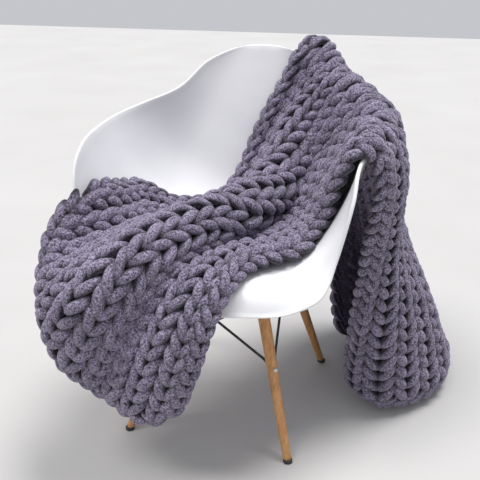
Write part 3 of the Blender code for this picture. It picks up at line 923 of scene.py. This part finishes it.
def knitted(name, guide, **wanted):
    """Lay yarn over a guide and keep it as a plain mesh in the row frame."""
    modifier = guide.modifiers.new("knit", "NODES")
    modifier.node_group = KNIT.tree
    modifier[KNIT.ids["Yarn"]] = YARN
    for words, value in wanted.items():
        modifier[KNIT.ids[words.replace("_", " ")]] = value
    bpy.context.view_layer.update()
    whole = guide.evaluated_get(bpy.context.evaluated_depsgraph_get())
    mesh = bpy.data.meshes.new_from_object(whole)
    guide.modifiers.remove(modifier)
    mesh.name = name
    for left_over in ("thick", "fabric", "front", "gauge", "right_side"):
        found = mesh.attributes.get(left_over)
        if found:
            mesh.attributes.remove(found)
    spots = np.zeros(len(mesh.vertices) * 3, np.float32)
    mesh.vertices.foreach_get("co", spots)
    spots = spots.reshape(-1, 3) + MIDDLE.astype(np.float32)
    mesh.vertices.foreach_set("co", spots.ravel())
    mesh.update()
    piece = added(name, mesh)
    return piece


def fabric_places(rows, columns, spare, wide, tall):
    """Wales and rows, from 0 to 1 between the spare steps of a grid."""
    u = (np.arange(rows) - spare) / wide
    v = (np.arange(columns) - spare) / tall
    return np.stack(np.meshgrid(u, v, indexing="ij"), axis=2)


def body_gauge():
    """Yarn is pulled thinner where the stitches are small and fuller where large."""
    wide = np.linalg.norm(np.gradient(CLOTH, axis=0), axis=2) * WALE_STEPS
    tall = np.linalg.norm(np.gradient(CLOTH, axis=1), axis=2) * ROW_STEPS
    wide = eased((wide / USUAL_WALE)[..., None], GAUGE_EASE)
    tall = eased((tall / USUAL_ROW)[..., None], GAUGE_EASE)
    return np.clip(wide ** 0.6 * tall ** 0.4, *GAUGE_RANGE)


def knit_body():
    grid = grown(CLOTH, SPARE)
    front = unit(grown(FRONT, SPARE))
    gauge = grown(body_gauge(), SPARE)[..., 0]
    fabric = fabric_places(*grid.shape[:2], SPARE, WALES * WALE_STEPS, ROWS * ROW_STEPS)
    guide = guide_sheet(grid, front, gauge, fabric)
    cuts = np.linspace(0, ROWS, BANDS + 1).astype(int)
    bands = []
    for number, (first, after) in enumerate(zip(cuts[:-1], cuts[1:])):
        bands.append(knitted("blanket_knit_%d" % (number + 1), guide,
                             First_row=int(first), Rows_here=int(after - first),
                             Wale_margin=WALE_MARGIN, Row_margin=ROW_MARGIN))
    bpy.data.objects.remove(guide, do_unlink=True)
    return bands


# Each edge of the cloth, and the line three steps in from it.
EDGE_LINES = {"near": (np.s_[0], np.s_[3]), "far": (np.s_[-1], np.s_[-4]),
              "front": (np.s_[:, 0], np.s_[:, 3]), "side": (np.s_[:, -1], np.s_[:, -4])}


def edge_rows(side):
    """Line, front and outward way of one edge of the cloth."""
    take, inner = EDGE_LINES[side]
    line, front = CLOTH[take], FRONT[take]
    outward = unit(line - CLOTH[inner])
    outward = unit(outward - front * (outward * front).sum(axis=1, keepdims=True))
    return line, front, outward


def knit_edge(name, line, front, outward, lift, turn, loops, gauge, reach):
    """A chain of loops along one edge, turned over it by some degrees."""
    count = loops * ROW_STEPS
    at = np.linspace(0, 1, count + 1)
    step = np.linalg.norm(np.diff(line, axis=0), axis=1)
    run = np.concatenate([[0], np.cumsum(step)]) / step.sum()

    def even(values):
        return np.stack([np.interp(at, run, values[:, n]) for n in range(3)], axis=1)

    line, front, outward = even(line), unit(even(front)), unit(even(outward))
    turn = np.radians(turn)
    facing = unit(front * np.cos(turn) + outward * np.sin(turn))
    across = unit(np.cross(unit(np.gradient(line, axis=0)), facing))
    centre = line - outward * EDGE_INSET + front * lift
    spread = (np.arange(WALE_STEPS + 1) / WALE_STEPS - 0.5) * EDGE_WIDTH
    grid = grown(centre[None, :, :] + across[None, :, :] * spread[:, None, None], SPARE)
    facing = np.pad(facing, ((SPARE, SPARE), (0, 0)), mode="edge")
    facing = np.broadcast_to(facing[None], grid.shape)
    fabric = fabric_places(*grid.shape[:2], SPARE, WALE_STEPS, count)
    guide = guide_sheet(grid, facing, np.full(grid.shape[:2], gauge), fabric)
    piece = knitted(name, guide, Wales=1, Rows=loops, Rows_here=loops,
                    Loop_reach=reach, Row_margin=0.5 / loops, **EDGE_LOOPS)
    bpy.data.objects.remove(guide, do_unlink=True)
    return piece


EDGE_LOOPS = {"Loop_depth": 0.0060, "Lift": 0.0, "Loop_tilt": 0.0030,
              "Unevenness": 0.0015}
SELVEDGE = {"lift": 0.009, "turn": 42, "loops": ROWS - 2, "gauge": 0.92, "reach": 0.64}
HEM = {"lift": 0.006, "turn": 28, "loops": HEM_LOOPS, "gauge": 0.95, "reach": 0.70}
knit = knit_body()
for side, kind, form in (("near", "selvedge", SELVEDGE), ("far", "selvedge", SELVEDGE),
                         ("front", "hem", HEM), ("side", "hem", HEM)):
    knit.append(knit_edge(side + "_" + kind, *edge_rows(side), **form))


def closed_sheet(name, middle, front, half, finish, uv):
    """A closed thin sheet about a grid of points."""
    rows, columns = middle.shape[:2]
    points, faces = both_sides(middle, front, half)
    border = [i * columns + j for i, j in border_places(rows, columns)]
    faces += belt(border, [k + rows * columns for k in border])
    return face_outward(new_piece(name, np.concatenate(points), faces, finish,
                                  uv=np.concatenate([uv, uv])))


# The ground sheet under the loops: its right side is dark painted shade seen through the
# gaps between stitches, its wrong side is yarn.
INSIDE = np.s_[2:-2:2, 2:-2:2]
ground = (CLOTH + FRONT * GROUND_LIFT)[INSIDE]
rows, columns = ground.shape[:2]
flat = fabric_places(rows, columns, 0, rows - 1, columns - 1).reshape(-1, 2) * (
    FLAT_WIDTH, FLAT_LENGTH)
blanket = closed_sheet("blanket_ground", ground, FRONT[INSIDE], GROUND_THICK / 2,
                       GAP_SHADE_YARN, flat)
blanket.data.materials.append(YARN)
wrong_side = (rows - 1) * (columns - 1)
for face in blanket.data.polygons[wrong_side:2 * wrong_side]:
    face.material_index = 1
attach(blanket, "root")
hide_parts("blanket")
for piece in knit:
    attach(piece, "root")


# ---- the shell
def ease_corners(grid):
    """Round the four corners where the rim turns into the lip and the crown."""
    i, j = np.array(border_places(*grid.shape[:2])).T
    border = grid[i, j]
    ring = np.concatenate([border, border[:1]])
    step = np.linalg.norm(np.diff(ring, axis=0), axis=1)
    run = np.concatenate([[0], np.cumsum(step)])
    even = np.arange(0, run[-1], RIM_STEP)
    line = np.stack([np.interp(even, run, ring[:, n]) for n in range(3)], axis=1)
    reach = np.arange(-CORNER_STEPS, CORNER_STEPS + 1)
    weight = np.exp(-(reach * RIM_STEP / CORNER_SOFT) ** 2 / 2)
    soft = sum(np.roll(line, by, 0) * w for by, w in zip(reach, weight))
    moved = soft / weight.sum() - line
    shift = np.stack([np.interp(run[:-1], even, moved[:, n]) for n in range(3)], 1)
    corners = np.array([grid[0, 0], grid[0, -1], grid[-1, 0], grid[-1, -1]])
    away = np.linalg.norm(border[:, None] - corners[None], axis=2).min(axis=1)
    shift *= np.exp(-(away / CORNER_REACH) ** 4)[:, None]
    out = grid.reshape(-1, 3).copy()
    for k in range(len(out)):
        gap = np.linalg.norm(border - out[k], axis=1)
        share = np.exp(-(gap / SHIFT_SPREAD) ** 2)
        out[k] += ((shift * share[:, None]).sum(axis=0) / max(share.sum(), 1e-9)
                   * np.exp(-(gap.min() / SHIFT_REACH) ** 2))
    out = out.reshape(grid.shape)
    out[i, j] = border + shift
    return out


def shell_skin():
    """The moulded shell, its rim rounded and a little thicker than its walls."""
    grid = ease_corners(shell_grid(SKIN_ROWS, SKIN_HALF_COLUMNS))
    front = sheet_normals(grid)
    rows, columns = grid.shape[:2]
    from_end, from_side = (np.minimum(np.arange(n), np.arange(n)[::-1]) / RIM_EASE_STEPS
                           for n in (rows, columns))
    ease = np.clip(np.minimum(from_end[:, None], from_side[None]), 0, 1)[..., None]
    half = RIM_ROUND + (SHELL_THICK / 2 - RIM_ROUND) * ease
    points, faces = both_sides(grid, front, half)
    i, j = np.array(border_places(rows, columns)).T
    rim, face = grid[i, j], front[i, j]
    out = unit(rim - grid[np.clip(i, 1, rows - 2), np.clip(j, 1, columns - 2)])
    out = unit(out - face * (out * face).sum(axis=1, keepdims=True))
    first = (i * columns + j).tolist()
    rings = [first]
    start = 2 * rows * columns
    for turn in np.radians(RIM_TURNS):
        points.append(rim + (face * np.cos(turn) + out * np.sin(turn)) * RIM_ROUND)
        rings.append(list(range(start, start + len(first))))
        start += len(first)
    rings.append([k + rows * columns for k in first])
    for one, two in zip(rings[:-1], rings[1:]):
        faces += belt(one, two)
    return face_outward(new_piece("armchair_shell", np.concatenate(points), faces,
                                  PLASTIC))


shell = shell_skin()
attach(shell, "root")
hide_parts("shell")


# ---- legs and feet
# Each profile gives places along the axis with the radius there.
LEG_PROFILE = np.array(((GLIDE_HEIGHT + FIT, 0.0095), (0.10, 0.0110), (0.22, 0.0128),
                        (0.32, 0.0135), (LEG_TOP_Z, 0.0120)))
GLIDE_PROFILE = ((0, 0.0097), (0.0008, 0.0105), (0.0055, 0.0105),
                 (GLIDE_HEIGHT, 0.0098))
BOLT_PROFILE = ((0.0, 0.0050), (0.0008, 0.0054), (0.0022, 0.0050), (0.0036, 0.0038),
                (0.0040, 0.0026), (0.0026, 0.0022), (0.0026, 0.0004))
LUG_PROFILE = ((-0.004, 0.0028), (-0.001, 0.0034), (0.003, 0.0034), (0.0052, 0.0020))
CORNERS = (("front_left", -1, -1), ("front_right", 1, -1),
           ("rear_left", -1, 1), ("rear_right", 1, 1))


def leg_axis(side, end, z):
    """A point on a leg's axis; side -1 left, +1 right; end -1 front, +1 rear."""
    in_by = LEG_SPLAY * z
    return np.array((side * (FOOT_X - in_by), end * (FOOT_Y - in_by), z))


def leg_form(side, end):
    marks = smooth_through(LEG_PROFILE, np.linspace(0, 4, LEG_RINGS))
    heights, radii = marks[:, 0], marks[:, 1]
    heights = np.concatenate([[heights[0], heights[0] + FOOT_BEVEL], heights[1:-1],
                              [heights[-1] - TOP_BEVEL, heights[-1]]])
    radii = np.concatenate([[radii[0] - FOOT_BEVEL], radii, [radii[-1] - TOP_BEVEL]])
    return turned([leg_axis(side, end, z) for z in heights], radii, LEG_SIDES)


def glide_form(side, end):
    foot = leg_axis(side, end, 0)
    heights, radii = zip(*GLIDE_PROFILE)
    return turned([foot + (0, 0, z) for z in heights], radii, GLIDE_SIDES)


def bolt_form(side, end):
    outward = unit(np.array((side, end, 0.0)))
    seat = leg_axis(side, end, BOLT_Z) + outward * (BOLT_SEAT + FIT)
    far, radii = zip(*BOLT_PROFILE)
    return turned([seat + outward * step for step in far], radii, BOLT_SIDES,
                  np.cross(outward, (0, 0, 1.0)), (0, 0, 1.0))


for corner, side, end in CORNERS:
    leg = joined("dowel_leg_" + corner, [leg_form(side, end)], BEECH)
    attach(leg, "root")
    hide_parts("leg_" + corner)
    glide = joined("foot_glide_" + corner, [glide_form(side, end)], RUBBER)
    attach(glide, "root")
    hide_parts("glide_" + corner)
    bolt = joined("leg_bolt_" + corner, [bolt_form(side, end)], BOLT_STEEL)
    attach(bolt, "root")
    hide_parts("bolt_" + corner)


# ---- braces under the seat
def brace_forms(low, high, facing, shift):
    """A bar and its two flattened ends, from one leg's bolt up to another leg."""
    low_end = leg_axis(*CORNERS[low][1:], BOLT_Z)
    high_end = leg_axis(*CORNERS[high][1:], BRACE_TOP_Z)
    way = unit(high_end - low_end)
    step = facing * (BRACE_APART * shift)
    start, stop = low_end + way * BRACE_TRIM + step, high_end - way * BRACE_TRIM + step
    far, radii = zip(*LUG_PROFILE)
    return [bar(start, stop, BRACE_RADIUS)] + [
        turned(list(near + way * sign * np.array(far)[:, None]), radii, LUG_SIDES,
               np.cross(way, facing) * LUG_WIDE, facing * LUG_FLAT)
        for near, sign in ((start, -1), (stop, 1))]


SIDES = (("front", 0, 1, (0, -1, 0)), ("rear", 2, 3, (0, 1, 0)),
         ("left", 0, 2, (-1, 0, 0)), ("right", 1, 3, (1, 0, 0)))
for label, first, second, facing in SIDES:
    for tag, low, high, shift in (("a", first, second, 1), ("b", second, first, -1)):
        brace = joined("wire_brace_%s_%s" % (label, tag),
                       brace_forms(low, high, np.array(facing, float), shift),
                       BLACK_STEEL)
        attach(brace, "root")
        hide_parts("brace_%s_%s" % (label, tag))


for name in frame["nodes"]:
    node = frame["nodes"][name]
    finish = (BLACK_STEEL if name == "seat_frame" else
              RUBBER if name.startswith("mount_") else None)
    if finish:
        for slot in node.material_slots:
            slot.material = finish


# ---- floor, light and camera
def floor_finish():
    finish = Finish("pale_floor", (0.50, 0.49, 0.48), 0.9)
    cloud = finish.noise(finish.place(), 1.5, 2.0)
    return finish.join(Base_Color=finish.ramp(
        cloud, (0.3, (0.49, 0.482, 0.474)), (0.7, (0.52, 0.512, 0.504))))


floor = new_piece("floor", [(x * FLOOR_HALF, y * FLOOR_HALF, FLOOR_Z) for x, y in
                            ((-1, -1), (1, -1), (1, 1), (-1, 1))],
                  [(0, 1, 2, 3)], floor_finish(), False)

scene = bpy.context.scene
world = bpy.data.worlds.new("studio")
world.use_nodes = True
world.node_tree.nodes["Background"].inputs["Color"].default_value = SKY
world.node_tree.nodes["Background"].inputs["Strength"].default_value = SKY_STRENGTH
scene.world = world


def soft_sun(name, place, power, colour=(1, 1, 1)):
    lamp = bpy.data.lights.new(name, "SUN")
    lamp.angle = np.radians(SUN_SPREAD)
    lamp.energy = power
    lamp.color = colour
    holder = added(name, lamp)
    holder.location = Vector(place) + Vector(MIDDLE)
    holder.rotation_euler = (-Vector(place)).to_track_quat("-Z", "Y").to_euler()

soft_sun("window_light", (-1.7, -1.5, 4.4), 1.40, (1.0, 0.99, 0.97))
soft_sun("top_light", (0.9, 0.9, 5.0), 2.35)

lens = bpy.data.cameras.new("camera")
lens.sensor_width = 36.0
lens.lens = LENS
lens.clip_start = 0.05
camera = added("camera", lens)
camera.location = Vector(EYE) + Vector(MIDDLE)
view = Vector(LOOK_AT) - Vector(EYE)
camera.rotation_euler = view.to_track_quat("-Z", "Y").to_euler()
scene.camera = camera
scene.view_settings.view_transform = "Standard"
